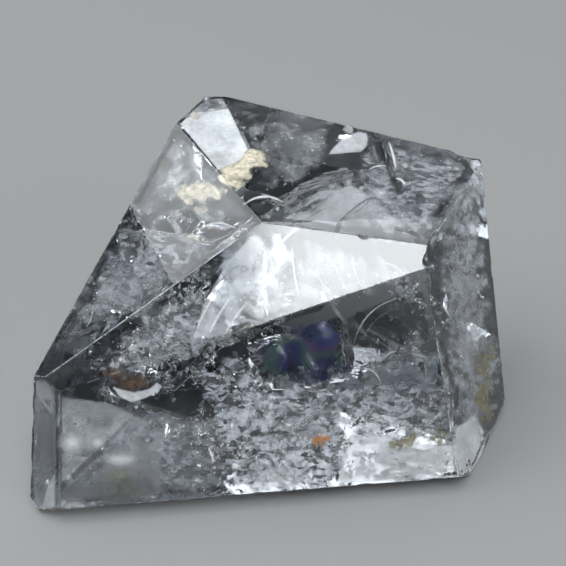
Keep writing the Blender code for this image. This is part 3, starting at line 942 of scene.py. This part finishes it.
def crystal():
    """Replaces the CAD stone by its own skin with the fractures as voids inside it."""
    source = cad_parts[NODE].data
    source.calc_loop_triangles()
    inner = cracks()
    shape = Shape()
    shape.add(np.array([vert.co for vert in source.vertices], float),
              np.array([tri.vertices for tri in source.loop_triangles]))
    shape.add(np.vstack(inner.points), np.vstack(inner.faces))
    piece = mesh_object("crystal", shape, quartz())
    face_marks(piece.data, len(source.loop_triangles))
    piece.data.set_sharp_from_angle(angle=math.radians(SHARP_FROM))
    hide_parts(NODE)


def veils():
    """Makes the white veils and the stains inside the stone, and the sheets that paint its highlights and
    its shade, dark breaks among them.
    """
    for number, (name, (*look, wave, fade, step, dark)) in enumerate(FILMS.items()):
        rng = np.random.default_rng(number + VEIL_SEED)
        shape = Shape()
        for kind, outline, depth, dense in VEILS.values():
            if kind == name:
                add_veil(shape, rng, outline, depth, dense, wave, fade, step)
        piece = mesh_object(name + "_veil", shape, film(name, *look, dark))
        values = np.concatenate(shape.values)
        for column, layer in enumerate(("dense", "whole")):
            marks = piece.data.attributes.new(layer, "FLOAT", "POINT")
            marks.data.foreach_set("value", values[:, column].copy())


def strew(seed, kinds, size, share, wave, step):
    """Strews the veils of some films with tiny ragged plates at random angles."""
    rng = np.random.default_rng(seed)
    shape = Shape()
    for kind, outline, depth, dense in VEILS.values():
        if kind not in kinds:
            continue
        sheet = Shape()
        add_veil(sheet, rng, outline, depth, dense, wave, STREWN_FADE, step)
        points, values = sheet.points[0], sheet.values[0]
        chance = np.clip(values[:, 0] * values[:, 1], 0, MOST_DENSE) * share
        for point in points[rng.uniform(size=len(points)) < chance]:
            reach = size * rng.uniform(*PLATE_SIZES) ** 2
            first, second = rng.normal(size=(2, 3))
            first = unit(first)
            second = unit(np.cross(first, second))
            angle = np.sort(rng.uniform(0, math.tau, PLATE_CORNERS))
            wide = np.outer(np.sin(angle), second) * rng.uniform(*PLATE_WIDTHS)
            rim = np.outer(np.cos(angle), first) + wide
            place = point + rng.normal(size=3) * size
            corners = place + rim * reach
            if (corners @ NORMALS.T < REACHES - SKIN).all():
                shape.add(corners, [range(PLATE_CORNERS)])
    return shape


def flakes():
    """Adds the tiny flakes of the white veils, and glints where the stone is shattered."""
    white = spotted("white_flake", 900.0, (0.55, 0.58, 0.62), (0.97, 0.98, 1.0), 0.3)
    plates = strew(FLAKE_SEED, ("wisp", "mist", "puff"), FLAKE, FLAKES_PER_POINT, 1.6, 2.0)
    mesh_object("white_flakes", plates, white, smooth=False)
    mirror = spotted("glint", 1500.0, (0.75, 0.78, 0.82), (0.98, 0.99, 1.0), 0.10, 1.0)
    plates = strew(GLINT_SEED, ("crackle",), GLINT, GLINTS_PER_POINT, 2.4, 1.6)
    mesh_object("glints", plates, mirror, smooth=False)


def specks():
    """Makes the few black grains just under the skin at the lower right."""
    rng = np.random.default_rng(SPECK_SEED)
    shape = Shape()
    for (x, y), size in SPECKS.items():
        centre, _ = seat(x, y, SPECK_DEPTH, 0, 0)
        grain = bmesh.new()
        bmesh.ops.create_icosphere(grain, subdivisions=2, radius=size * MM)
        corners = np.array([vert.co for vert in grain.verts])
        corners *= rng.uniform(*SPECK_SHAPES, corners.shape) * np.array([1.0, 1.0, SPECK_FLAT])
        faces = [[vert.index for vert in face.verts] for face in grain.faces]
        shape.add(corners + centre, faces)
        grain.free()
    black = spotted("black_grain", 4000.0, (0.004, 0.004, 0.005), (0.05, 0.045, 0.04), 0.35)
    mesh_object("black_specks", shape, black, smooth=False)


def face_away(name, data, spot, back):
    """Adds a camera or lamp at a spot, with its back turned to a direction."""
    thing = bpy.data.objects.new(name, data)
    thing.location = spot
    thing.rotation_euler = Vector(back).to_track_quat("Z", "Y").to_euler()
    bpy.context.scene.collection.objects.link(thing)
    return thing


def camera():
    """Sets the camera where the photograph's was."""
    data = bpy.data.cameras.new("camera")
    data.sensor_width = SENSOR_MM
    data.lens = SENSOR_MM * FOCAL_PX / PICTURE
    data.clip_start, data.clip_end = CLIP
    bpy.context.scene.camera = face_away("camera", data, EYE, BACK)


def softbox(name, size, radiance, bearing, height, distance, soft):
    """Adds a square lamp that looks at the stone, with a soft left edge where soft isn't 0."""
    data = bpy.data.lights.new(name, "AREA")
    data.shape = "SQUARE"
    data.size = size
    data.energy = radiance * math.pi * size * size
    data.color = LAMP_COLOUR
    if soft:
        soft_edge(data, soft)
    bearing, height = math.radians(bearing), math.radians(height)
    level = math.cos(height)
    way = Vector((math.cos(bearing) * level, math.sin(bearing) * level, math.sin(height)))
    face_away(name, data, LAMP_AIM + way * distance, way)


def soft_edge(lamp, width):
    """Fades a lamp towards its left side, so that its mirror image ends softly."""
    lamp.use_nodes = True
    tree = lamp.node_tree
    spot = add_node(tree, "NewGeometry", {}, "Parametric")
    across = add_node(tree, "SeparateXYZ", {0: spot}, "X")
    glow = remap(tree, across, high=width, interpolation_type="SMOOTHSTEP")
    set_inputs(tree, tree.nodes["Emission"], {"Strength": glow})


def studio():
    """Builds the plain floor, the soft lamps and the dim room."""
    bpy.ops.mesh.primitive_plane_add(size=FLOOR_SIDE, location=(0, 0, -FLOOR_DROP))
    floor = bpy.context.object
    floor.name = "floor"
    material, *_ = new_material("pale_floor", {
        "Base Color": FLOOR_COLOUR, "Roughness": 0.9, "Specular IOR Level": 0.2})
    floor.data.materials.append(material)
    for name, lamp in LAMPS.items():
        softbox(name, *lamp)
    room = bpy.data.worlds.new("room")
    room.use_nodes = True
    room.node_tree.nodes["Background"].inputs["Color"].default_value = ROOM_COLOUR
    bpy.context.scene.world = room


def settings():
    """Lets light pass through many faces."""
    scene = bpy.context.scene
    scene.cycles.max_bounces = scene.cycles.transmission_bounces = 24
    scene.cycles.glossy_bounces = 20
    scene.cycles.transparent_max_bounces = 32
    scene.view_settings.view_transform = "Standard"


camera()
studio()
settings()
crystal()
veils()
flakes()
specks()
